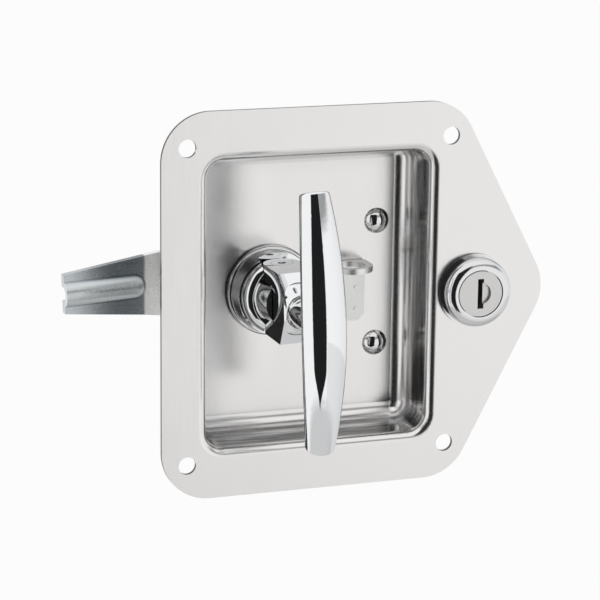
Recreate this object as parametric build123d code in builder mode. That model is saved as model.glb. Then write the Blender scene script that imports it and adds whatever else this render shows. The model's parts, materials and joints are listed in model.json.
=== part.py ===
"""Flush folding T-handle latch with a separate key lock and a padlock eye.

Millimetres. +Z is up, +X right and -Y towards the user. The origin is the centre of the four
mounting holes, on the flange's rear face, which seats on the door.
"""

from build123d import *
from math import cos, radians, sin, tan
import os

# ---- driving dimensions -------------------------------------------------------------------------
# pan: one pressed sheet with a flange, a dish and a pointed right side
sheet = 2.0
flange_height = 139.7
flange_left = -58.6
point_reach = 88.2            # where the two slanted edges would meet, before rounding
slant = 27.6                  # degrees of each slanted edge from the vertical
corner_radius = 17.75
hole_spacing_x = 98.4
hole_edge = 12.7              # from a mounting hole to the flange's top or bottom edge
mounting_hole_radius = 3.25
dish_width = 83.9             # inside the walls, at the flange's front face
dish_height = 104.4
dish_corner_radius = 6.6
dish_depth = 22.0             # from the flange's front face to the floor
dish_draft = 3.5
floor_bend = 5.0
rim_bend = 3.2

# hexagon nuts
nut_face = 0.97               # width of the round face, as a share of the width over the flats
nut_slope = 0.55              # rise over run of the corner chamfers

# turning group: rotor, handle, lock disc and cam
hub_x = -11.6
rest_turn = 2.1               # degrees that the handle leans, top to the left, on its stop
turn_travel = 92.1
fit_gap = 0.05                # radial clearance of a running fit
press_gap = 0.02              # radial, between a pressed pin and its hole
side_gap = 0.3                # clearance beside a moving piece
plate_gap = 0.3               # clearance between stacked moving plates

housing_flange_radius = 16.65
housing_flange = 2.5
housing_bead = 1.1
housing_barrel_radius = 11.0
gasket = 0.5
hub_washer = 1.5
hub_nut_width = 32.0
hub_nut_height = 7.0
shaft_radius = 8.0
o_ring_section = 0.55
o_ring_groove = 1.1

rotor_base_radius = 15.6
rotor_rim_radius = 14.7       # where the coned base ends
rotor_rim_front = 10.4
rotor_head_radius = 14.2
rotor_head_round = 3.6
rotor_shoulder = 6.0          # depth of the rotor's front face, and of the fold pin
tongue_front = -2.4
tongue_base_radius = 10.5
tongue_front_radius = 8.7
stop_lug_radius = 12.5
stop_lug_width = 1.6
stop_lug_height = 1.5
stop_lug_arc = 24.0

fold_pin_radius = 2.5
fold_pin_offset = 0.3         # to the right of the hub's axis
pin_head_radius = 4.0
pin_head = 1.0
pin_head_gap = 0.15           # radial, round the head in its recess
pin_head_seat = 0.05          # between the head's inner face and its recess
pin_dimple_radius = 1.5

block_width = 13.4
block_height = 25.6
block_front = -9.8            # depth of the sloped faces' outer edges
block_crown = -15.6           # depth where the sloped faces end
crown_height = 4.6
fork_gap = 13.0
fork_depth = 9.2              # from the fold pin to the bottom of the fork
block_edge = 0.5
ear_gap = 0.1                 # between an ear's left side and the slot wall it stops on

stem_root_radius = 9.8
stem_root = 0.5               # straight length before the root narrows
stem_radius = 5.5
stem_waist = -17.5
bar_length = 90.8
bar_end_radius = 5.2
bar_middle_width = 8.0        # half-width and half-depth of the oval middle
bar_middle_depth = 5.7
bar_end_depth = -31.3
bar_bow = 7.3
bar_edge = 0.9

ball_radius = 1.75
ball_offset = 5.0             # from the fold pin
ball_rest_proud = 0.2
dimple_radius = 2.1
dimple_depth = 0.5
spring_wire = 0.5
spring_radius = 1.3
spring_turns = 5

disc_radius = 20.0
disc_thickness = 3.0
notch_width = 11.2
notch_floor_radius = 10.0
shank_width = 11.0
shank_gap = 0.05
cam_front = 44.0
cam_thickness = 3.0
cam_width = 24.0
cam_reach = 71.0              # from the hub's axis to the tip
cam_bend_reach = 40.2
cam_parallel_reach = 34.0
cam_bend_width = 22.2
cam_tip_width = 14.5
cam_bend = 3.0                # degrees, tip towards the user
rib_width = 9.6
rib_height = 3.6
rib_wall = 2.4
rib_overrun = 0.5             # the rib's nose past the bend line
spacer_radius = 10.0
stud_radius = 4.0
cam_washer_radius = 9.0
cam_washer = 1.6
cam_nut_width = 13.0
cam_nut_height = 6.5
thread_chamfer = 0.8
stud_end = 2.0                # stud showing past its nut

# padlock eye: an L of plate, welded to the dish's floor
eye_plate = 2.0
eye_bend = 1.6                # outside radius where the eye meets the floor
eye_width = 16.0
eye_right = 24.5
eye_top = 9.1
eye_foot_bottom = -13.6
eye_centre_front = 11.5       # depth of the eye's centre
eye_hole_radius = 5.4
eye_chamfer = 2.5
weld_radius = 0.8
weld_height = 0.25
weld_inset = 3.3
weld_heights = (-1.2, -9.3)

# rivets and the guide that they hold behind the floor
rivet_x = 29.4
rivet_spacing = 46.0
rivet_head_radius = 4.75
rivet_head = 2.5
rivet_shank_radius = 2.5
rivet_tail_radius = 4.0
rivet_tail = 1.5
guide_plate = 1.6
guide_width = 14.0
guide_foot_end = 29.0
guide_bend = 1.0
guide_foot_corner = 3.0

# key lock
lock_wall_gap = 1.3           # between the lock nut's corner and the dish
bezel_radius = 13.5
bezel_step = 1.0
bezel_step_inset = 0.7
bezel_front = -9.1
bezel_round = 3.4
lock_barrel_radius = 9.5
lock_flats = 16.5
lock_barrel_end = 28.0
lock_gasket = 0.4
plug_head_radius = 8.35
plug_head = 3.0
plug_ring_gap = 0.4
plug_sink = 0.15              # how far the plug's face lies behind the bezel's front
plug_radius = 6.4
key_slot_width = 2.3
key_slot_height = 11.0
key_slot_depth = 20.0
key_scoop_radius = 4.0
key_scoop_depth = 1.2
tail_width = 6.0
tail_screw_radius = 1.9
lock_washer = 1.0
lock_nut_width = 24.0
lock_nut_height = 6.0

# crank on the plug's tail, and the slide that it drives
crank_throw = 7.0
crank_quarter = 45.0          # degrees of the crank pin each side of upright
crank_plate = 2.4
crank_hub_radius = 5.6
crank_pin_radius = 2.0
crank_pin_play = 0.3
crank_pin_head_radius = 3.2
crank_pin_head = 1.0
crank_screw_head_radius = 3.5
crank_screw_head = 2.0
crank_screw_round = 0.8
crank_screw_length = 8.0
slide_thickness = 2.5
slide_nose_width = 9.2
slide_nose_length = 9.0
slide_width = 14.0
slide_prong = 3.2
slide_prong_bottom = 4.1
slide_retracted_gap = 0.5     # from the lock disc's rim to the nose, when unlocked

# ---- places that follow from them -----------------------------------------------------------
hole_spacing_z = flange_height - 2 * hole_edge
floor_front = dish_depth - sheet
floor_back = floor_front + sheet
housing_back = floor_front - gasket
housing_front = housing_back - housing_flange
rotor_back = housing_front - plate_gap
barrel_end = floor_back + hub_washer + hub_nut_height + 0.2
disc_front = barrel_end + plate_gap
disc_back = disc_front + disc_thickness
cam_back = cam_front + cam_thickness
stud_back = cam_back + cam_washer + cam_nut_height + stud_end
pin_x = hub_x + fold_pin_offset
pin_y = rotor_shoulder
slot_floor = pin_y + block_width / 2 + side_gap
tongue_height = fork_gap - 2 * side_gap
slot_wall = pin_x - block_width / 2 - ear_gap
ball_y = pin_y - ball_offset
ball_centre = tongue_height / 2 + ball_rest_proud - ball_radius
bar_half = bar_length / 2
bar_axis_depth = bar_end_depth - bar_bow
slide_front = disc_front
slide_back = slide_front + slide_thickness
crank_reach = crank_throw * sin(radians(crank_quarter))
slide_travel = 2 * crank_reach
slide_nose = hub_x + disc_radius + slide_retracted_gap
crank_back = slide_front - plate_gap
crank_front = crank_back - crank_plate
lock_nut_corner = lock_nut_width / cos(radians(30)) / 2
lock_x = dish_width / 2 + sheet + lock_nut_corner + lock_wall_gap
hub_axis = Axis((hub_x, 0, 0), (0, 1, 0))
lock_axis = Axis((lock_x, 0, 0), (0, 1, 0))


def facing(depth, x=0, z=0):
    """A plane at a depth behind the flange's seat: its normal points at the user."""
    return Plane(origin=(x, depth, z), x_dir=(1, 0, 0), z_dir=(0, -1, 0))


def radial(x):
    """A plane for revolved profiles about an axis into the door: local x is radius, y is depth."""
    return Plane(origin=(x, 0, 0), x_dir=(1, 0, 0), z_dir=(0, 0, 1))


def turned(piece):
    """The piece of the turning group as it stands at rest, leaning on its stop."""
    return piece.rotate(hub_axis, -rest_turn)


def save(piece, name):
    piece.label = name
    export_step(piece, f"parts/{name}.step")


os.makedirs("parts", exist_ok=True)

# ---- pan --------------------------------------------------------------------------------------
slant_run = tan(radians(slant)) * flange_height / 2

with BuildPart() as dish_inside:
    with BuildSketch(Plane(origin=(0, -sheet, 0), x_dir=(1, 0, 0), z_dir=(0, 1, 0))):
        RectangleRounded(dish_width, dish_height, dish_corner_radius)
    extrude(amount=dish_depth, taper=dish_draft)
    fillet(dish_inside.faces().sort_by(Axis.Y)[-1].edges(), floor_bend)

with BuildPart() as pan:
    with BuildSketch(Plane(origin=(0, -sheet, 0), x_dir=(1, 0, 0), z_dir=(0, 1, 0))):
        RectangleRounded(dish_width + 2 * sheet, dish_height + 2 * sheet, dish_corner_radius + sheet)
    extrude(amount=dish_depth + sheet, taper=dish_draft)
    fillet(pan.faces().sort_by(Axis.Y)[-1].edges(), floor_bend + sheet)
    with BuildSketch(facing(0)) as flange:
        with BuildLine():
            Polyline(
                (flange_left, -flange_height / 2),
                (point_reach - slant_run, -flange_height / 2),
                (point_reach, 0),
                (point_reach - slant_run, flange_height / 2),
                (flange_left, flange_height / 2),
                close=True,
            )
        make_face()
        fillet(flange.vertices(), corner_radius)
    extrude(amount=sheet)
    add(dish_inside.part, mode=Mode.SUBTRACT)
    rim = pan.faces().sort_by(Axis.Y)[0].inner_wires()[0]
    fillet(rim.edges(), rim_bend)
    seat = pan.faces().filter_by(Axis.Y).filter_by(lambda face: abs(face.center().Y) < sheet / 4)[0]
    fillet(seat.inner_wires()[0].edges(), rim_bend - sheet)
    with BuildSketch(facing(0)):
        with GridLocations(hole_spacing_x, hole_spacing_z, 2, 2):
            Circle(mounting_hole_radius)
    extrude(amount=sheet, mode=Mode.SUBTRACT)
    with BuildSketch(facing(0, lock_x)):
        Circle(lock_barrel_radius + fit_gap)
        Rectangle(2 * bezel_radius, lock_flats + 2 * fit_gap, mode=Mode.INTERSECT)
    extrude(amount=sheet, mode=Mode.SUBTRACT)
    with BuildSketch(facing(floor_back)):
        with Locations((hub_x, 0)):
            Circle(housing_barrel_radius + fit_gap)
        with Locations((rivet_x, 0)):
            with GridLocations(0, rivet_spacing, 1, 2):
                Circle(rivet_shank_radius + fit_gap)
    extrude(amount=sheet, mode=Mode.SUBTRACT)
save(pan.part, "pan")


# ---- fixed hub: gasket, housing, washer and nut ---------------------------------------------------
with BuildPart() as hub_gasket:
    with BuildSketch(facing(floor_front, hub_x)):
        Circle(housing_flange_radius - fit_gap)
        Circle(housing_barrel_radius + fit_gap, mode=Mode.SUBTRACT)
    extrude(amount=gasket)
save(hub_gasket.part, "hub_gasket")

lug_arc = CenterArc((0, 0), stop_lug_radius, 90 - stop_lug_arc / 2, stop_lug_arc)
with BuildPart() as hub_housing:
    with BuildSketch(facing(barrel_end, hub_x)):
        Circle(housing_barrel_radius)
    extrude(amount=barrel_end - housing_back)
    with BuildSketch(facing(housing_back, hub_x)):
        Circle(housing_flange_radius)
    extrude(amount=housing_flange)
    fillet(hub_housing.faces().sort_by(Axis.Y)[0].edges(), housing_bead)
    chamfer(hub_housing.faces().sort_by(Axis.Y)[-1].edges(), housing_bead / 2)
    with BuildSketch(facing(barrel_end, hub_x)):
        Circle(shaft_radius + fit_gap)
    extrude(amount=barrel_end - housing_front, mode=Mode.SUBTRACT)
    with BuildSketch(facing(housing_front, hub_x)):
        SlotArc(lug_arc, stop_lug_width)
    extrude(amount=stop_lug_height)
save(hub_housing.part, "hub_housing")


def ring(depth, thickness, outer, inner, x):
    """A flat washer whose rear face is at a depth."""
    with BuildPart() as washer:
        with BuildSketch(facing(depth, x)):
            Circle(outer)
            Circle(inner, mode=Mode.SUBTRACT)
        extrude(amount=thickness)
    return washer.part


def hex_nut(depth, height, width, bore, x):
    """A nut with chamfered corners whose rear face is at a depth, two flats upright."""
    flat = width * nut_face / 2
    spread = width / cos(radians(30)) / 2 - flat
    with BuildPart() as nut:
        with BuildSketch(facing(depth, x)):
            RegularPolygon(width / 2, 6, major_radius=False, rotation=30)
        extrude(amount=height)
        with BuildSketch(radial(x)):
            with BuildLine():
                Polyline(
                    (0, depth),
                    (flat, depth),
                    (flat + spread, depth - spread * nut_slope),
                    (flat + spread, depth - height + spread * nut_slope),
                    (flat, depth - height),
                    (0, depth - height),
                    close=True,
                )
            make_face()
        revolve(axis=Axis((x, 0, 0), (0, 1, 0)), mode=Mode.INTERSECT)
        with BuildSketch(facing(depth, x)):
            Circle(bore)
        extrude(amount=height, mode=Mode.SUBTRACT)
    return nut.part


washer_back = floor_back + hub_washer
save(ring(washer_back, hub_washer, hub_nut_width / 2 + 1, housing_barrel_radius + fit_gap, hub_x),
     "hub_washer")
nut_back = washer_back + hub_nut_height
save(hex_nut(nut_back, hub_nut_height, hub_nut_width, housing_barrel_radius + fit_gap, hub_x),
     "hub_nut")

# ---- rotor: its stop groove takes in the lug's arc as well as the travel -------------------------
groove_start = 90 - rest_turn - stop_lug_arc / 2
groove_arc = CenterArc((0, 0), stop_lug_radius, groove_start, turn_travel + stop_lug_arc)

with BuildPart() as tongue:
    with BuildSketch(facing(rotor_shoulder, hub_x)):
        Circle(tongue_base_radius)
    with BuildSketch(facing(tongue_front, hub_x)):
        Circle(tongue_front_radius)
    loft()
    with BuildSketch(facing(rotor_shoulder, hub_x)):
        Rectangle(4 * tongue_base_radius, tongue_height)
    extrude(amount=rotor_shoulder - tongue_front, mode=Mode.INTERSECT)
    with BuildSketch(Plane.XY.offset(-tongue_height / 2)):
        with Locations((pin_x, pin_y)):
            Circle(fork_depth - side_gap)
            Rectangle(4 * tongue_base_radius, 4 * tongue_base_radius, align=(Align.MAX, Align.CENTER))
    extrude(amount=tongue_height, mode=Mode.INTERSECT)

with BuildPart() as rotor:
    with BuildSketch(radial(hub_x)):
        with BuildLine():
            Polyline(
                (0, rotor_back),
                (rotor_base_radius, rotor_back),
                (rotor_rim_radius, rotor_rim_front),
                (rotor_head_radius, rotor_rim_front),
                (rotor_head_radius, rotor_shoulder),
                (0, rotor_shoulder),
                close=True,
            )
        make_face()
    revolve(axis=hub_axis)
    fillet(rotor.faces().sort_by(Axis.Y)[0].edges(), rotor_head_round)
    with BuildSketch(facing(slot_floor, pin_x)):
        with GridLocations(0, tongue_height + 2 * rotor_base_radius, 1, 2):
            with Locations((slot_wall - pin_x, 0)):
                Rectangle(4 * rotor_base_radius, 2 * rotor_base_radius, align=(Align.MIN, Align.CENTER))
    extrude(amount=slot_floor - rotor_shoulder, mode=Mode.SUBTRACT)
    with BuildSketch(facing(slot_floor, pin_x + fork_depth - side_gap)):
        Rectangle(2 * rotor_base_radius, 4 * rotor_base_radius, align=(Align.MIN, Align.CENTER))
    extrude(amount=slot_floor - rotor_shoulder, mode=Mode.SUBTRACT)
    with BuildSketch(facing(rotor_back, hub_x)):
        Circle(shaft_radius)
    extrude(amount=-(disc_front - rotor_back))
    with BuildSketch(facing(disc_front, hub_x)):
        Rectangle(shank_width, shank_width)
    extrude(amount=-(cam_back - disc_front))
    with BuildSketch(facing(cam_back, hub_x)):
        Circle(stud_radius)
    extrude(amount=-(stud_back - cam_back))
    chamfer(rotor.faces().sort_by(Axis.Y)[-1].edges(), thread_chamfer)
    with BuildSketch(radial(hub_x)):
        with Locations((shaft_radius, floor_front)):
            Rectangle(2 * o_ring_groove, 4 * o_ring_section)
    revolve(axis=hub_axis, mode=Mode.SUBTRACT)
    with BuildSketch(facing(rotor_back, hub_x)):
        SlotArc(groove_arc, stop_lug_width + 2 * side_gap)
    extrude(amount=stop_lug_height, mode=Mode.SUBTRACT)

    add(tongue.part)
    with BuildSketch(Plane.XY.offset(-rotor_base_radius)):
        with Locations((pin_x, pin_y)):
            Circle(fold_pin_radius + press_gap)
        with Locations((pin_x, ball_y)):
            Circle(ball_radius + fit_gap)
    extrude(amount=2 * rotor_base_radius, mode=Mode.SUBTRACT)
save(turned(rotor.part), "rotor")

with BuildPart() as rotor_o_ring:
    with BuildSketch(radial(hub_x)):
        with Locations((shaft_radius - o_ring_groove + o_ring_section + fit_gap, floor_front)):
            Circle(o_ring_section)
    revolve(axis=hub_axis)
save(rotor_o_ring.part, "rotor_o_ring")

# ---- fold pin, detent balls and their spring ---------------------------------------------------------
ear_top = block_height / 2
with BuildPart() as fold_pin:
    with BuildSketch(Plane.XY.offset(-ear_top)):
        with Locations((pin_x, pin_y)):
            Circle(fold_pin_radius)
    extrude(amount=block_height)
    for side in (-1, 1):
        head_face = Plane.XY.offset(side * ear_top)
        with BuildSketch(head_face):
            with Locations((pin_x, pin_y)):
                Circle(pin_head_radius)
        extrude(amount=-side * pin_head)
        with BuildSketch(head_face):
            with Locations((pin_x, pin_y)):
                Circle(pin_dimple_radius)
        extrude(amount=-side * pin_head, mode=Mode.SUBTRACT)
save(turned(fold_pin.part), "fold_pin")

for side, name in ((1, "detent_ball_upper"), (-1, "detent_ball_lower")):
    with BuildPart(Location((pin_x, ball_y, side * ball_centre))) as detent_ball:
        Sphere(ball_radius)
    save(turned(detent_ball.part), name)

spring_length = 2 * (ball_centre - ball_radius) - spring_wire
with BuildPart() as detent_spring:
    with BuildLine(Plane(origin=(pin_x, ball_y, -spring_length / 2))):
        coil = Helix(spring_length / spring_turns, spring_length, spring_radius)
    with BuildSketch(Plane(coil @ 0, z_dir=coil % 0)):
        Circle(spring_wire / 2)
    sweep(is_frenet=True)
save(turned(detent_spring.part), "detent_spring")

# ---- handle -------------------------------------------------------------------------------------------
with BuildPart() as stem:
    with BuildSketch(radial(hub_x)):
        with BuildLine():
            Line((0, block_front), (stem_root_radius, block_front))
            root = Line((stem_root_radius, block_front), (stem_root_radius, block_front - stem_root))
            flare = Spline(
                root @ 1,
                (stem_radius, stem_waist),
                tangents=((0, -1), (0, -1)),
            )
            Polyline(flare @ 1, (stem_radius, bar_axis_depth), (0, bar_axis_depth), (0, block_front))
        make_face()
    revolve(axis=hub_axis)
    with BuildSketch(facing(block_front, pin_x)):
        Rectangle(block_width, block_height)
    extrude(amount=block_front - bar_axis_depth, mode=Mode.INTERSECT)

with BuildPart() as handle:
    with BuildSketch(Plane.XY.offset(-ear_top)):
        with Locations((pin_x, pin_y)):
            Circle(block_width / 2)
            Rectangle(block_width, pin_y - block_crown, align=(Align.CENTER, Align.MAX))
    extrude(amount=block_height)
    with BuildSketch(Plane.YZ.offset(pin_x - block_width / 2)):
        with BuildLine():
            Polyline(
                (pin_y + block_width / 2, -ear_top),
                (pin_y + block_width / 2, ear_top),
                (block_front, ear_top),
                (block_crown, crown_height / 2),
                (block_crown, -crown_height / 2),
                (block_front, -ear_top),
                close=True,
            )
        make_face()
    extrude(amount=block_width, mode=Mode.INTERSECT)
    chamfer(handle.edges().filter_by(Axis.Z), block_edge)
    add(stem.part)
    for share in (-1, -0.66, -0.33, 0, 0.33, 0.66, 1):
        swell = 1 - share ** 2
        lean = 2 * bar_bow * share / bar_half
        with BuildSketch(Plane(
            origin=(hub_x, bar_end_depth - bar_bow * swell, bar_half * share),
            x_dir=(1, 0, 0),
            z_dir=(0, lean, 1),
        )):
            Ellipse(
                bar_end_radius + (bar_middle_width - bar_end_radius) * swell,
                bar_end_radius + (bar_middle_depth - bar_end_radius) * swell,
            )
    loft()
    with BuildSketch(Plane.XY.offset(-fork_gap / 2)):
        with Locations((pin_x, pin_y)):
            Rectangle(2 * block_width, fork_depth, align=(Align.CENTER, Align.MAX))
            Rectangle(2 * block_width, block_width, align=(Align.CENTER, Align.MIN))
    extrude(amount=fork_gap, mode=Mode.SUBTRACT)
    with BuildSketch(Plane.XY.offset(-ear_top)):
        with Locations((pin_x, pin_y)):
            Circle(fold_pin_radius + fit_gap)
    extrude(amount=block_height, mode=Mode.SUBTRACT)
    recess = pin_head + pin_head_seat
    with BuildSketch(Plane.XY.offset(-ear_top), Plane.XY.offset(ear_top - recess)):
        with Locations((pin_x, pin_y)):
            Circle(pin_head_radius + pin_head_gap)
    extrude(amount=recess, mode=Mode.SUBTRACT)
    dimple_centre = fork_gap / 2 + dimple_depth - dimple_radius
    with Locations(*[
        (pin_x + dx, pin_y + dy, side * dimple_centre)
        for dx, dy in ((0, -ball_offset), (-ball_offset, 0))
        for side in (-1, 1)
    ]):
        Sphere(dimple_radius, mode=Mode.SUBTRACT)
    for end in (0, -1):
        fillet(handle.faces().sort_by(Axis.Z)[end].edges(), bar_edge)
save(turned(handle.part), "handle")

# ---- lock disc, spacer, cam and their nut, on the rotor's square shank ---------------------------------
shank_hole = shank_width + 2 * shank_gap

with BuildPart() as lock_disc:
    with BuildSketch(facing(disc_back, hub_x)):
        Circle(disc_radius)
        with PolarLocations((disc_radius + notch_floor_radius) / 2, 4):
            Rectangle(disc_radius - notch_floor_radius, notch_width, mode=Mode.SUBTRACT)
        Rectangle(shank_hole, shank_hole, mode=Mode.SUBTRACT)
    extrude(amount=disc_thickness)
save(turned(lock_disc.part), "lock_disc")

with BuildPart() as cam_spacer:
    with BuildSketch(facing(cam_front, hub_x)):
        Circle(spacer_radius)
        Rectangle(shank_hole, shank_hole, mode=Mode.SUBTRACT)
    extrude(amount=cam_front - disc_back)
save(turned(cam_spacer.part), "cam_spacer")

lean = radians(cam_bend)
tip_plane = Plane(
    origin=(hub_x - cam_bend_reach, cam_back, 0),
    x_dir=(-cos(lean), -sin(lean), 0),
    z_dir=(sin(lean), -cos(lean), 0),
)
tip_length = (cam_reach - cam_bend_reach) / cos(lean)
rib_radius = (rib_width ** 2 / 4 + rib_height ** 2) / (2 * rib_height)
rib_level = cam_thickness + rib_height - rib_radius
rib_nose = rib_radius - rib_overrun
rib_hollow = rib_radius - rib_wall
rib_end = Plane(
    origin=tip_plane.from_local_coords(Vector(tip_length, 0, rib_level)),
    x_dir=(0, 0, 1),
    z_dir=(cos(lean), sin(lean), 0),
)

with BuildPart() as rib:
    with BuildSketch(rib_end):
        Circle(rib_radius)
    extrude(amount=tip_length - rib_nose)
    with Locations(tip_plane.from_local_coords(Vector(rib_nose, 0, rib_level))):
        Sphere(rib_radius)
    with BuildSketch(tip_plane):
        Rectangle(4 * tip_length, 4 * cam_width)
    extrude(amount=-2 * rib_radius, mode=Mode.SUBTRACT)

with BuildPart() as cam:
    with BuildSketch(facing(cam_back, hub_x)):
        with BuildLine():
            Polyline(
                (0, cam_width / 2),
                (-cam_parallel_reach, cam_width / 2),
                (-cam_bend_reach, cam_bend_width / 2),
                (-cam_bend_reach, -cam_bend_width / 2),
                (-cam_parallel_reach, -cam_width / 2),
                (0, -cam_width / 2),
                close=True,
            )
        make_face()
        Circle(cam_width / 2)
    extrude(amount=cam_thickness)
    with BuildSketch(tip_plane):
        with BuildLine():
            Polyline(
                (0, cam_bend_width / 2),
                (tip_length, cam_tip_width / 2),
                (tip_length, -cam_tip_width / 2),
                (0, -cam_bend_width / 2),
                close=True,
            )
        make_face()
    extrude(amount=cam_thickness)
    add(rib.part)
    with BuildSketch(rib_end):
        Circle(rib_hollow)
    extrude(amount=tip_length - rib_nose, mode=Mode.SUBTRACT)
    with BuildSketch(tip_plane):
        with Locations((rib_nose, 0)):
            Circle(rib_hollow)
            Rectangle(tip_length, 2 * rib_hollow, align=(Align.MIN, Align.CENTER))
    extrude(amount=rib_level, mode=Mode.SUBTRACT)
    with BuildSketch(facing(cam_back, hub_x)):
        Rectangle(shank_hole, shank_hole)
    extrude(amount=cam_thickness, mode=Mode.SUBTRACT)
save(turned(cam.part), "cam")

cam_washer_back = cam_back + cam_washer
save(ring(cam_washer_back, cam_washer, cam_washer_radius, stud_radius + fit_gap, hub_x), "cam_washer")
cam_nut_back = cam_washer_back + cam_nut_height
save(turned(hex_nut(cam_nut_back, cam_nut_height, cam_nut_width, stud_radius + fit_gap, hub_x)), "cam_nut")

# ---- padlock eye, welded to the floor beside the handle's folded stem ------------------------------------
eye_x = eye_right - eye_width / 2
with BuildPart() as padlock_eye:
    with BuildSketch(facing(floor_front)):
        with Locations((eye_x, eye_top)):
            Rectangle(eye_width, eye_top - eye_foot_bottom, align=(Align.CENTER, Align.MAX))
    extrude(amount=eye_plate)
    chamfer(padlock_eye.edges().filter_by(Axis.Y).group_by(Axis.Z)[0], eye_chamfer)
    with BuildSketch(Plane.XY.offset(eye_top - eye_plate)):
        with Locations((eye_x, eye_centre_front)):
            Circle(eye_width / 2)
            Rectangle(eye_width, floor_front - eye_centre_front, align=(Align.CENTER, Align.MIN))
            Circle(eye_hole_radius, mode=Mode.SUBTRACT)
    extrude(amount=eye_plate)
    bend_edge = padlock_eye.edges().filter_by(Axis.X).group_by(Axis.Z)[-1].sort_by(Axis.Y)[-1:]
    fillet(bend_edge, eye_bend)
    with BuildSketch(facing(floor_front - eye_plate)):
        for level in weld_heights:
            with Locations((eye_right - weld_inset, level), (eye_right - eye_width + weld_inset, level)):
                Circle(weld_radius)
    extrude(amount=weld_height)
save(padlock_eye.part, "padlock_eye")

# ---- guide behind the floor, and the two domed rivets that hold it ---------------------------------------
guide_inside = slide_width / 2 + side_gap
guide_outside = guide_inside + guide_plate
bridge_front = slide_back + plate_gap
guide_depth = bridge_front - floor_back
foot_back = floor_back + guide_plate
from_floor = (Align.MIN, Align.CENTER)
with BuildPart() as slide_guide:
    with BuildSketch(Plane.YZ.offset(rivet_x - guide_width / 2)):
        with Locations((floor_back, 0)):
            Rectangle(guide_depth + guide_plate, 2 * guide_outside, align=from_floor)
            Rectangle(guide_plate, 2 * guide_foot_end, align=from_floor)
            Rectangle(guide_depth, 2 * guide_inside, align=from_floor, mode=Mode.SUBTRACT)
    extrude(amount=guide_width)
    fillet(slide_guide.edges().filter_by(Axis.X).group_by(Axis.Y)[-1], guide_bend)
    for end in (0, -1):
        fillet(slide_guide.edges().filter_by(Axis.Y).group_by(Axis.Z)[end], guide_foot_corner)
    with BuildSketch(facing(foot_back, rivet_x)):
        with GridLocations(0, rivet_spacing, 1, 2):
            Circle(rivet_shank_radius + fit_gap)
    extrude(amount=guide_plate, mode=Mode.SUBTRACT)
save(slide_guide.part, "slide_guide")

with BuildPart() as guide_rivets:
    for level in (-rivet_spacing / 2, rivet_spacing / 2):
        with BuildSketch(Plane(origin=(rivet_x, 0, level), x_dir=(1, 0, 0), z_dir=(0, 0, 1))):
            with BuildLine():
                crown = ThreePointArc(
                    (0, floor_front - rivet_head),
                    (rivet_head_radius * cos(radians(50)), floor_front - rivet_head * sin(radians(43))),
                    (rivet_head_radius, floor_front),
                )
                Polyline(
                    crown @ 1,
                    (rivet_shank_radius, floor_front),
                    (rivet_shank_radius, foot_back),
                    (rivet_tail_radius, foot_back),
                    (rivet_tail_radius, foot_back + rivet_tail),
                    (0, foot_back + rivet_tail),
                    crown @ 0,
                )
            make_face()
        revolve(axis=Axis((rivet_x, 0, level), (0, 1, 0)))
save(guide_rivets.part, "guide_rivets")

# ---- key lock --------------------------------------------------------------------------------------------
bezel_back = -sheet - lock_gasket
with BuildPart() as lock_gasket_ring:
    with BuildSketch(facing(-sheet, lock_x)):
        Circle(bezel_radius - fit_gap)
        Circle(lock_barrel_radius + fit_gap, mode=Mode.SUBTRACT)
    extrude(amount=lock_gasket)
save(lock_gasket_ring.part, "lock_gasket")

plug_ring_radius = plug_head_radius + plug_ring_gap
dome_radius = bezel_radius - bezel_step_inset
plug_seat = bezel_front + plug_head
with BuildPart() as lock_body:
    with BuildSketch(radial(lock_x)):
        with BuildLine():
            Polyline(
                (plug_radius + fit_gap, bezel_back),
                (bezel_radius, bezel_back),
                (bezel_radius, bezel_back - bezel_step),
                (dome_radius, bezel_back - bezel_step),
                (dome_radius, bezel_front),
                (plug_radius + fit_gap, bezel_front),
                close=True,
            )
        make_face()
    revolve(axis=lock_axis)
    fillet(lock_body.faces().sort_by(Axis.Y)[0].edges().sort_by(Edge.length)[-1], bezel_round)
    with BuildSketch(facing(lock_barrel_end, lock_x)):
        Circle(lock_barrel_radius)
        Rectangle(2 * lock_barrel_radius, lock_flats, mode=Mode.INTERSECT)
    extrude(amount=lock_barrel_end - bezel_back)
    with BuildSketch(facing(lock_barrel_end, lock_x)):
        Circle(plug_radius + fit_gap)
    extrude(amount=lock_barrel_end - bezel_front, mode=Mode.SUBTRACT)
    with BuildSketch(facing(plug_seat, lock_x)):
        Circle(plug_ring_radius)
    extrude(amount=plug_head, mode=Mode.SUBTRACT)
save(lock_body.part, "lock_body")

lock_washer_back = lock_washer
lock_thread_radius = lock_barrel_radius + fit_gap
save(ring(lock_washer_back, lock_washer, lock_nut_width / 2, lock_thread_radius, lock_x), "lock_washer")
lock_nut_back = lock_washer_back + lock_nut_height
save(hex_nut(lock_nut_back, lock_nut_height, lock_nut_width, lock_thread_radius, lock_x), "lock_nut")

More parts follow.
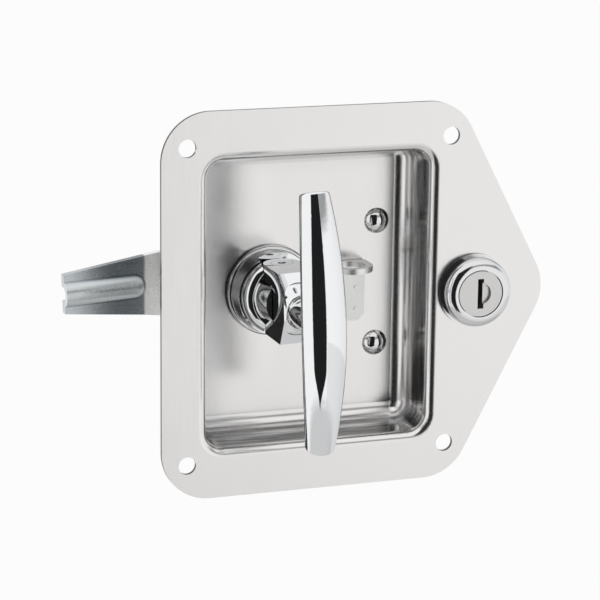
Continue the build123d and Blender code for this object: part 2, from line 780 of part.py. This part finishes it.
with BuildPart() as lock_plug:
    with BuildSketch(facing(crank_front, lock_x)):
        Circle(plug_radius)
    extrude(amount=crank_front - plug_seat + fit_gap)
    with BuildSketch(facing(plug_seat - fit_gap, lock_x)):
        Circle(plug_head_radius)
    extrude(amount=plug_head - plug_sink)
    with BuildSketch(facing(crank_back, lock_x)):
        Rectangle(tail_width, tail_width)
    extrude(amount=crank_plate)
    with BuildSketch(facing(crank_back, lock_x)):
        Circle(tail_screw_radius + fit_gap)
    extrude(amount=crank_screw_length, mode=Mode.SUBTRACT)
    plug_face = lock_plug.faces().sort_by(Axis.Y)[0].center().Y
    with BuildSketch(facing(plug_face, lock_x)):
        Rectangle(key_slot_width, key_slot_height)
    extrude(amount=-key_slot_depth, mode=Mode.SUBTRACT)
    with BuildSketch(facing(plug_face, lock_x)):
        Circle(key_scoop_radius)
        Rectangle(key_scoop_radius, 2 * key_scoop_radius, align=(Align.MIN, Align.CENTER),
                  mode=Mode.INTERSECT)
    extrude(amount=-key_scoop_depth, mode=Mode.SUBTRACT)
save(lock_plug.part, "lock_plug")

# ---- crank, its screw, and the slide ---------------------------------------------------------------------
pin_place = (crank_reach, crank_throw * cos(radians(crank_quarter)))
with BuildPart() as crank:
    with BuildSketch(facing(crank_back, lock_x)):
        Circle(crank_hub_radius)
        with Locations(pin_place):
            Circle(crank_pin_head_radius)
        make_hull()
        Rectangle(tail_width + 2 * shank_gap, tail_width + 2 * shank_gap, mode=Mode.SUBTRACT)
    extrude(amount=crank_plate)
    with BuildSketch(facing(crank_back, lock_x)):
        with Locations(pin_place):
            Circle(crank_pin_radius)
    extrude(amount=-(bridge_front - crank_back))
    with BuildSketch(facing(bridge_front, lock_x)):
        with Locations(pin_place):
            Circle(crank_pin_head_radius)
    extrude(amount=-crank_pin_head)
save(crank.part, "crank")

with BuildPart() as crank_screw:
    with BuildSketch(facing(crank_back, lock_x)):
        Circle(tail_screw_radius)
    extrude(amount=crank_screw_length - 1)
    with BuildSketch(facing(crank_back, lock_x)):
        Circle(crank_screw_head_radius)
    extrude(amount=-crank_screw_head)
    fillet(crank_screw.faces().sort_by(Axis.Y)[-1].edges(), crank_screw_round)
save(crank_screw.part, "crank_screw")

prong_x = lock_x + crank_reach
prong_half_gap = crank_pin_radius + crank_pin_play
prong_top = crank_throw + crank_pin_radius + side_gap + slide_prong
neck_x = slide_nose + slide_nose_length
shoulder_x = neck_x + (slide_width - slide_nose_width) / 2
arm_start = rivet_x + guide_width / 2 + slide_travel + guide_plate
with BuildPart() as lock_slide:
    with BuildSketch(facing(slide_back)):
        with BuildLine():
            Polyline(
                (slide_nose, -slide_nose_width / 2),
                (neck_x, -slide_nose_width / 2),
                (shoulder_x, -slide_width / 2),
                (arm_start, -slide_width / 2),
                (arm_start + slide_prong, slide_prong_bottom),
                (prong_x + prong_half_gap + slide_prong, slide_prong_bottom),
                (prong_x + prong_half_gap + slide_prong, prong_top),
                (arm_start + slide_prong, prong_top),
                (arm_start, slide_width / 2),
                (shoulder_x, slide_width / 2),
                (neck_x, slide_nose_width / 2),
                (slide_nose, slide_nose_width / 2),
                close=True,
            )
        make_face()
        with Locations((prong_x, slide_prong_bottom)):
            Rectangle(2 * prong_half_gap, prong_top - slide_prong - slide_prong_bottom,
                      align=(Align.CENTER, Align.MIN), mode=Mode.SUBTRACT)
    extrude(amount=slide_thickness)
save(lock_slide.part, "lock_slide")
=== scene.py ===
"""Looks of the folding T-handle latch: finishes, threads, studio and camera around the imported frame."""

import json
from math import cos, radians, sin

import bpy
from mathutils import Matrix, Vector


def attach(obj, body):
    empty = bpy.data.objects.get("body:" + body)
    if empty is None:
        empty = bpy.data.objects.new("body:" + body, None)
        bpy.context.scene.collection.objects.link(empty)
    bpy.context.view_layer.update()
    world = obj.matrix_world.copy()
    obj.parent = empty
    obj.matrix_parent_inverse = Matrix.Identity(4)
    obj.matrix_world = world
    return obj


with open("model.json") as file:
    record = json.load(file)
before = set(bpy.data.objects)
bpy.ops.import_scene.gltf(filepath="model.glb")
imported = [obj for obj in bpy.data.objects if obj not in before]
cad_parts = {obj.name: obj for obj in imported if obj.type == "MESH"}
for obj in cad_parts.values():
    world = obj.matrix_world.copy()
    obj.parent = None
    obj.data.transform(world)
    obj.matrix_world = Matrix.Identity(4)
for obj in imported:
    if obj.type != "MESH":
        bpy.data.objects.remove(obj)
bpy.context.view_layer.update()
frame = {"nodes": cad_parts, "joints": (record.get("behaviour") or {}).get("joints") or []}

# ---- camera -------------------------------------------------------------------------------------
AZIMUTH = radians(19.339)      # to the left of the latch's front
ELEVATION = radians(13.702)
ROLL = radians(0.668)
DISTANCE = 0.894065
TARGET = Vector((-0.007577, -0.002, 0.000735))
SENSOR = 36.0
LENS = 151.097

# ---- sizes of the studio ------------------------------------------------------------------------
FLOOR_DROP = 0.30              # from the origin down to the floor
FLOOR_REACH = 8.0

# Directions that the metal looks towards, in degrees: round to the right, and up.
OPENING_LEFT = -9
OPENING_RIGHT = 48
OPENING_EDGE = 1.5
OPENING_HEIGHT = 40            # above and below the level
PINCH = (-27, -41)             # where the opening narrows towards its foot
PINCH_BY = 26
SEAM_ROUND = (-75, -8)         # the grey seam above the opening's left
SEAM_UP = (15, 33)
FALL = (-20, -150)             # the tent darkens slowly round to the left
TABLE_RIGHT = (-14, -10)       # the table's top ends towards the opening
TABLE_UP = (-18.6, -17.6)
BELOW = (-42, -34)

# Share of the tent's light that each one takes away.
OPENING_DARK = 0.985
SEAM_DARK = 0.62
BELOW_DARK = 0.35
FALL_DARK = 0.15
TABLE_DARK = 0.15
DULL_LIGHT = 0.8               # strength for everything that isn't glossy

# ---- regions of the pan -------------------------------------------------------------------------
DISH_REACH_X = 0.0462          # from the middle to the end of the rim's bend
DISH_REACH_Z = 0.0565
DISH_EDGE = 0.0003
SHEARED = (-0.00175, -0.00025) # the flange's cut edges, along Y
SHEARED_EDGE = 0.0002
WALL = (0.0010, 0.0165)
WALL_EDGE = 0.0022
FLOOR_START = (0.0165, 0.0190)
FLOOR_LEFT = (-0.024, -0.040)  # the floor's left side falls into shade
# the floor's top also gets painted shade
FLOOR_TOP = (0.040, 0.052)

# ---- regions of the cam -------------------------------------------------------------------------
# where the cam's painted highlights and painted shade lie
CAM_ROOT = (-0.0525, -0.0512)  # right of the bend
CAM_TIP = (-0.062, -0.080)
RIB_CREST = (0.0432, 0.0405)   # from the flat up to the crest, along Y

# ---- sizes of the threads -----------------------------------------------------------------------
AXIS_X = {joint["name"]: joint["pos_m"][0] for joint in frame["joints"] if "pos_m" in joint}
RING_SIDES = 64
RIDGE_SIDES = 6
LOCK_THREAD = {                # from the lock nut to the end of the lock's barrel
    "X": AXIS_X["key_turn"], "Radius": 0.0095, "Ridge": 0.00028,
    "Start": 0.0076, "Pitch": 0.001, "Ridges": 21,
}
STUD_THREAD = {                # the end of the stud, past the cam's nut
    "X": AXIS_X["handle_turn"], "Radius": 0.0040, "Ridge": 0.00022,
    "Start": 0.0554, "Pitch": 0.0007, "Ridges": 3,
}


# ---- shader expressions -----------------------------------------------------------------------
class Value:
    """A node's output that can stand in an expression."""

    def __init__(self, nodes, socket):
        self.nodes = nodes
        self.socket = socket

    def __add__(self, other):
        return self.nodes.math("ADD", self, other)

    def __sub__(self, other):
        return self.nodes.math("SUBTRACT", self, other)

    def __rsub__(self, other):
        return self.nodes.math("SUBTRACT", other, self)

    def __mul__(self, other):
        return self.nodes.math("MULTIPLY", self, other)

    def __neg__(self):
        return self.nodes.math("MULTIPLY", self, -1)

    __radd__ = __add__


class Nodes:
    """A node tree whose nodes are made from expressions."""

    def __init__(self, owner):
        owner.use_nodes = True
        self.tree = owner.node_tree
        self.tree.nodes.clear()

    def node(self, kind, settings=None, sockets=None, output=0):
        """Adds a node, sets it up, fills its sockets and gives the chosen output."""
        made = self.tree.nodes.new(kind)
        for name, value in (settings or {}).items():
            setattr(made, name, value)
        for name, value in (sockets or {}).items():
            place = next(s for s in made.inputs if name in (s.identifier, s.name))
            if isinstance(value, Value):
                self.tree.links.new(value.socket, place)
            else:
                place.default_value = value
        return Value(self, made.outputs[output]) if made.outputs else None

    def math(self, operation, *values):
        names = ("Value", "Value_001")
        return self.node("ShaderNodeMath", {"operation": operation}, dict(zip(names, values)))

    def coordinate(self, kind="Object"):
        outputs = ("Generated", "Normal", "UV", "Object")
        return self.node("ShaderNodeTexCoord", output=outputs.index(kind))

    def parts(self, vector):
        """The X, Y and Z of a vector."""
        split = self.node("ShaderNodeSeparateXYZ", sockets={"Vector": vector}).socket.node
        return [Value(self, place) for place in split.outputs]

    def stretched(self, vector, scale):
        return self.node("ShaderNodeMapping", sockets={"Vector": vector, "Scale": scale})

    def noise(self, vector, scale=1.0, detail=2.0, roughness=0.5):
        sockets = {"Vector": vector, "Scale": scale, "Detail": detail, "Roughness": roughness}
        return self.node("ShaderNodeTexNoise", sockets=sockets)

    def step(self, value, start, end):
        """0 up to start, 1 from end on, smooth between; end may lie below start."""
        settings = {"interpolation_type": "SMOOTHSTEP"}
        sockets = {"Value": value, "From Min": start, "From Max": end}
        return self.node("ShaderNodeMapRange", settings, sockets)

    def between(self, value, low, high, edge):
        """1 from low to high, 0 outside, smooth within the edge on both sides."""
        return self.step(value, low - edge, low + edge) * (1 - self.step(value, high - edge, high + edge))

    def blend(self, factor, first, second):
        """A colour from first to second as factor goes from 0 to 1."""
        sockets = {"Factor_Float": factor, "A_Color": first, "B_Color": second}
        return self.node("ShaderNodeMix", {"data_type": "RGBA"}, sockets, output=2)

    def bump(self, height, distance):
        sockets = {"Height": height, "Distance": distance, "Strength": 1.0}
        return self.node("ShaderNodeBump", sockets=sockets)


class Finish(Nodes):
    """A material with one Principled shader."""

    def __init__(self, name):
        self.material = bpy.data.materials.new(name)
        super().__init__(self.material)

    def surface(self, sockets):
        shader = self.node("ShaderNodeBsdfPrincipled", sockets=sockets)
        self.node("ShaderNodeOutputMaterial", sockets={"Surface": shader})
        return self.material


def rgb(red, green, blue):
    return (red, green, blue, 1)


# ---- finishes -----------------------------------------------------------------------------------
def stainless():
    """Bright sheet with a fine upright grain, painted shade on the drawn walls and on the floor's left and
    top, and dull sheared edges.
    """
    m = Finish("stainless_sheet")
    place = m.coordinate()
    x, y, z = m.parts(place)
    across = m.between(x, -DISH_REACH_X, DISH_REACH_X, DISH_EDGE)
    dish = across * m.between(z, -DISH_REACH_Z, DISH_REACH_Z, DISH_EDGE)
    sheared = m.between(y, *SHEARED, SHEARED_EDGE) * (1 - dish)
    wall = m.between(y, *WALL, WALL_EDGE) * dish
    floor = m.step(y, *FLOOR_START) * dish
    # painted shade on the dish's floor: darker towards its left side and towards its top
    shade = floor * m.step(x, *FLOOR_LEFT) + floor * m.step(z, *FLOOR_TOP) * 0.45
    grain = m.noise(m.stretched(place, (2600, 300, 60)), detail=3)
    cloud = m.noise(m.stretched(place, (30, 30, 30)), detail=3)
    drawn = m.noise(m.stretched(place, (25, 900, 25)), detail=3)
    streak = m.noise(m.stretched(place, (40, 420, 40)), detail=3, roughness=0.6)
    bright = m.blend(grain * 0.5 + cloud * 0.5, rgb(0.80, 0.785, 0.775), rgb(0.87, 0.86, 0.85))
    # painted shade on the drawn walls: much darker than the sheet, streaked along the draw
    streaked_wall_shade = m.blend(m.step(streak, 0.32, 0.68), rgb(0.24, 0.245, 0.255), rgb(0.62, 0.61, 0.60))
    shaded = m.blend(shade * 0.38, bright, rgb(0.30, 0.31, 0.33))
    walled = m.blend(wall, shaded, streaked_wall_shade)
    colour = m.blend(sheared, walled, rgb(0.11, 0.11, 0.115))
    roughness = 0.13 + grain * 0.10 + cloud * 0.05 - wall * 0.04 + sheared * 0.2
    height = grain * (1 - wall) * 0.25 + drawn * wall
    return m.surface({
        "Base Color": colour,
        "Metallic": 1.0,
        "Roughness": roughness,
        "Anisotropic": 0.5,
        "Normal": m.bump(height, 0.00002),
    })


def chrome(name, tint, roughness, ripple):
    """Polished plating: a long ripple from the buffing wheel and fine swirls."""
    m = Finish(name)
    place = m.coordinate()
    wave = m.noise(place, scale=90, detail=1)
    swirl = m.noise(place, scale=1800, detail=2)
    colour = m.blend(swirl, rgb(*(c * 0.97 for c in tint)), rgb(*tint))
    return m.surface({
        "Base Color": colour,
        "Metallic": 1.0,
        "Roughness": roughness + swirl * 0.02,
        "Normal": m.bump(wave, ripple),
    })


def zinc(name, tint, roughness):
    """Bright zinc plate: faint mottling and rolling marks."""
    m = Finish(name)
    place = m.coordinate()
    mottle = m.noise(place, scale=260, detail=4, roughness=0.6)
    marks = m.noise(m.stretched(place, (80, 900, 1400)), detail=2)
    shade = mottle * 0.6 + marks * 0.4
    colour = m.blend(shade, rgb(*(c * 0.86 for c in tint)), rgb(*tint))
    return m.surface({
        "Base Color": colour,
        "Metallic": 1.0,
        "Roughness": roughness + mottle * 0.12,
        "Normal": m.bump(shade, 0.00002),
    })


def cam_zinc():
    """Bright zinc on the cam, with painted shade on the wings past the bend, a painted highlight along the
    rib's crest and a painted highlight on the root.
    """
    m = Finish("cam_zinc")
    place = m.coordinate()
    x, y, _ = m.parts(place)
    mottle = m.noise(place, scale=260, detail=4, roughness=0.6)
    smear = m.noise(m.stretched(place, (60, 60, 500)), detail=3)
    root_highlight_mask = m.step(x, *CAM_ROOT)
    tip = m.step(x, *CAM_TIP)
    crest_highlight_mask = m.step(y, *RIB_CREST)
    # painted shade on the wings just past the bend, fading towards the tip
    shaded_wing = m.blend(tip * 0.75 + smear * 0.25, rgb(0.16, 0.18, 0.20), rgb(0.62, 0.66, 0.68))
    # painted highlight along the rib's crest
    crest_lit_wing = m.blend(crest_highlight_mask * 0.75, shaded_wing, rgb(0.72, 0.76, 0.77))
    # painted highlight on the flat root by the hub
    colour = m.blend(root_highlight_mask, crest_lit_wing, rgb(0.93, 0.93, 0.92))
    return m.surface({
        "Base Color": colour,
        "Metallic": 1.0,
        "Roughness": 0.2 + mottle * 0.14,
        "Normal": m.bump(mottle * 0.6 + smear * 0.4, 0.00003),
    })


def rubber():
    """Matte black rubber with a fine speckle."""
    m = Finish("black_rubber")
    place = m.coordinate()
    speckle = m.noise(place, scale=2500, detail=3)
    return m.surface({
        "Base Color": m.blend(speckle, rgb(0.014, 0.014, 0.015), rgb(0.04, 0.04, 0.04)),
        "Roughness": 0.5 + speckle * 0.25,
        "Normal": m.bump(speckle, 0.00003),
    })


FINISHES = {
    "stainless": stainless(),
    "polished_rivets": chrome("rivet_polish", (0.78, 0.78, 0.775), 0.05, 0.00002),
    "chrome_fixed": chrome("housing_chrome", (0.80, 0.80, 0.80), 0.10, 0.00003),
    "chrome_rotor": chrome("rotor_chrome", (0.84, 0.85, 0.86), 0.03, 0.00002),
    "chrome_handle": chrome("handle_chrome", (0.88, 0.89, 0.90), 0.02, 0.00003),
    "zinc_cam": cam_zinc(),
    "eye_plate": zinc("eye_plate", (0.93, 0.93, 0.92), 0.30),
    "zinc_plate": zinc("plate_zinc", (0.60, 0.63, 0.65), 0.28),
    "zinc_fasteners": zinc("nut_zinc", (0.62, 0.65, 0.67), 0.22),
    "rubber": rubber(),
    "spring_steel": zinc("spring_steel", (0.45, 0.45, 0.46), 0.25),
    "lock_chrome": chrome("lock_chrome", (0.78, 0.78, 0.79), 0.10, 0.00002),
    "plug_satin": zinc("plug_satin", (0.78, 0.775, 0.765), 0.28),
}


def dress_frame():
    """Each CAD node gets the finish of its material slot."""
    for node in frame["nodes"].values():
        for holder in node.material_slots:
            holder.material = FINISHES[holder.material.name.split(".")[0]]


# ---- threads ------------------------------------------------------------------------------------
def thread_tree():
    """Equal ridges round the Y axis, one at each pitch."""
    tree = bpy.data.node_groups.new("thread", "GeometryNodeTree")
    inputs = {"Ridges": "Int", "Pitch": "Float", "Radius": "Float", "Ridge": "Float",
              "Start": "Vector", "Finish": "Material"}
    for name, kind in inputs.items():
        tree.interface.new_socket(name, in_out="INPUT", socket_type="NodeSocket" + kind)
    tree.interface.new_socket("Geometry", in_out="OUTPUT", socket_type="NodeSocketGeometry")

    def add(kind, **links):
        """Adds a node and links its inputs, whose names have _ for a space."""
        node = tree.nodes.new(kind)
        for socket, source in links.items():
            tree.links.new(source, node.inputs[socket.replace("_", " ")])
        return node

    given = add("NodeGroupInput").outputs
    step = add("ShaderNodeCombineXYZ", Y=given["Pitch"]).outputs[0]
    line = add("GeometryNodeMeshLine", Count=given["Ridges"], Start_Location=given["Start"], Offset=step)
    path = add("GeometryNodeCurvePrimitiveCircle", Radius=given["Radius"])
    path.inputs["Resolution"].default_value = RING_SIDES
    section = add("GeometryNodeCurvePrimitiveCircle", Radius=given["Ridge"])
    section.inputs["Resolution"].default_value = RIDGE_SIDES
    ring = add("GeometryNodeCurveToMesh", Curve=path.outputs["Curve"], Profile_Curve=section.outputs["Curve"])
    copies = add("GeometryNodeInstanceOnPoints", Points=line.outputs["Mesh"], Instance=ring.outputs["Mesh"])
    copies.inputs["Rotation"].default_value = (radians(90), 0, 0)
    solid = add("GeometryNodeRealizeInstances", Geometry=copies.outputs["Instances"])
    dressed = add("GeometryNodeSetMaterial", Geometry=solid.outputs["Geometry"], Material=given["Finish"])
    add("NodeGroupOutput", Geometry=dressed.outputs["Geometry"])
    return tree


def cut_thread(tree, name, body, size, finish):
    """One threaded length as a plain mesh that rides on its body."""
    maker = bpy.data.objects.new(name + "_maker", bpy.data.meshes.new(name + "_maker"))
    bpy.context.scene.collection.objects.link(maker)
    modifier = maker.modifiers.new("thread", "NODES")
    modifier.node_group = tree
    given = {**size, "Start": (size["X"], size["Start"], 0), "Finish": finish}
    for item in tree.interface.items_tree:
        if item.in_out == "INPUT":
            modifier[item.identifier] = given[item.name]
    evaluated = maker.evaluated_get(bpy.context.evaluated_depsgraph_get())
    mesh = bpy.data.meshes.new_from_object(evaluated)
    mesh.name = name
    maker.modifiers.remove(modifier)
    bpy.data.objects.remove(maker)
    piece = bpy.data.objects.new(name, mesh)
    bpy.context.scene.collection.objects.link(piece)
    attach(piece, body)


def cut_threads():
    """The threads that stay bare behind the lock's nut and the cam's nut."""
    tree = thread_tree()
    cut_thread(tree, "lock_thread", "pan", LOCK_THREAD, FINISHES["lock_chrome"])
    cut_thread(tree, "stud_thread", "rotor", STUD_THREAD, FINISHES["chrome_rotor"])


# ---- studio -------------------------------------------------------------------------------------
def light_world():
    """A white tent that glossy metal sees by direction, with a dark opening ahead and grey parts."""
    world = bpy.data.worlds.new("tent")
    bpy.context.scene.world = world
    w = Nodes(world)
    x, y, z = w.parts(w.coordinate("Generated"))
    azimuth = w.math("DEGREES", w.math("ARCTAN2", -x, -y))
    elevation = w.math("DEGREES", w.math("ARCSINE", z))
    pinch = w.step(elevation, *PINCH) * PINCH_BY
    left = w.step(azimuth - pinch, OPENING_LEFT - OPENING_EDGE, OPENING_LEFT + OPENING_EDGE)
    right = 1 - w.step(azimuth + pinch, OPENING_RIGHT - OPENING_EDGE, OPENING_RIGHT + OPENING_EDGE)
    opening = left * right * w.between(elevation, -OPENING_HEIGHT, OPENING_HEIGHT, 2)
    below = 1 - w.step(elevation, *BELOW)
    seam = w.between(elevation, *SEAM_UP, 4) * w.between(azimuth, *SEAM_ROUND, 4)
    fall = w.step(azimuth, *FALL)
    table = (1 - w.step(elevation, *TABLE_UP)) * (1 - w.step(azimuth, *TABLE_RIGHT)) * (1 - below)
    dimmed = below * BELOW_DARK + seam * SEAM_DARK + fall * FALL_DARK + table * TABLE_DARK
    tent = (1 - dimmed) * (1 - opening * OPENING_DARK)
    path = w.node("ShaderNodeLightPath").socket.node.outputs
    camera = Value(w, path["Is Camera Ray"])
    glossy = Value(w, path["Is Glossy Ray"])
    strength = camera + (1 - camera) * (glossy * tent + (1 - glossy) * DULL_LIGHT)
    light = w.node("ShaderNodeBackground", sockets={"Color": rgb(1, 1, 1), "Strength": strength})
    w.node("ShaderNodeOutputWorld", sockets={"Surface": light})


def lay_floor():
    """A white floor, nearly plain to the camera, that keeps a faint shadow and that the metal doesn't see."""
    mesh = bpy.data.meshes.new("floor")
    reach = FLOOR_REACH
    corners = [(-reach, -reach), (reach, -reach), (reach, reach), (-reach, reach)]
    mesh.from_pydata([(x, y, -FLOOR_DROP) for x, y in corners], [], [(0, 1, 2, 3)])
    floor = bpy.data.objects.new("floor", mesh)
    bpy.context.scene.collection.objects.link(floor)
    m = Finish("floor_white")
    grain = m.noise(m.coordinate(), scale=40, detail=2)
    path = m.node("ShaderNodeLightPath").socket.node.outputs
    camera = Value(m, path["Is Camera Ray"])
    board = m.node("ShaderNodeBsdfDiffuse", sockets={
        "Color": m.blend(grain, rgb(0.90, 0.90, 0.90), rgb(0.92, 0.92, 0.92)),
    })
    glow = m.node("ShaderNodeEmission", sockets={"Strength": 1.0})
    mixed = m.node("ShaderNodeMixShader", sockets={"Fac": camera * 0.9, "Shader": board, "Shader_001": glow})
    m.node("ShaderNodeOutputMaterial", sockets={"Surface": mixed})
    mesh.materials.append(m.material)
    floor.visible_glossy = False


def set_camera():
    """A long lens at its distance from the target, turned a little about its own axis."""
    back = Vector((-sin(AZIMUTH) * cos(ELEVATION), -cos(AZIMUTH) * cos(ELEVATION), sin(ELEVATION)))
    level = Vector((cos(AZIMUTH), -sin(AZIMUTH), 0))
    up = back.cross(level)
    across = cos(ROLL) * level + sin(ROLL) * up
    top = cos(ROLL) * up - sin(ROLL) * level
    lens = bpy.data.cameras.new("camera")
    lens.sensor_width = SENSOR
    lens.lens = LENS
    camera = bpy.data.objects.new("camera", lens)
    turn = Matrix((across, top, back)).transposed().to_4x4()
    camera.matrix_world = Matrix.Translation(TARGET + DISTANCE * back) @ turn
    bpy.context.scene.collection.objects.link(camera)
    bpy.context.scene.camera = camera


dress_frame()
cut_threads()
light_world()
lay_floor()
set_camera()
bpy.context.scene.view_settings.view_transform = "Standard"
